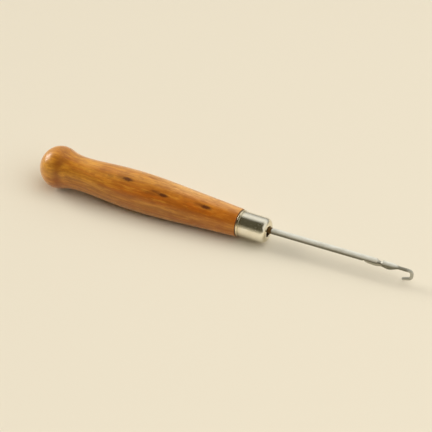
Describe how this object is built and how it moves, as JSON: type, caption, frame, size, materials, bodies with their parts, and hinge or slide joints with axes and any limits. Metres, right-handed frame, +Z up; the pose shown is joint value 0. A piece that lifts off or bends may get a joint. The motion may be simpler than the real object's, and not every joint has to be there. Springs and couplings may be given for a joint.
{
  "type": "latch hook",
  "caption": "Latch-type crochet hook for rug yarn: turned varnished wooden handle, plated ferrule, steel needle with a small J hook and a hinged latch that closes its mouth.",
  "frame": {"origin": "on the handle's axis, in the middle of the ferrule's straight barrel, 5.65 mm in front of the ferrule's rear edge", "axes": "+X along the handle's axis towards the hook, +Z up with the hook's mouth opening towards -Z, +Y along the latch's rivet"},
  "size_m": [0.1651, 0.018, 0.018],
  "materials": {
    "handle_wood": "turned hardwood under clear amber varnish",
    "ferrule_plate": "nickel plate, polished, lightly worn",
    "needle_steel": "drawn steel wire, lightly polished",
    "latch_steel": "pressed steel, lightly polished",
    "rivet_steel": "peened steel pin"
  },
  "bodies": {
    "tool": {"handle": "handle_wood", "ferrule": "ferrule_plate", "needle": "needle_steel", "latch_rivet": "rivet_steel"},
    "latch": {"latch": "latch_steel"}
  },
  "joints": [
    {"name": "latch_pivot", "type": "hinge", "parent": "tool", "child": "latch", "pos_m": [0.05675, 0, 0.00139], "axis": [0, -1, 0], "range_deg": [0, 139]}
  ]
}
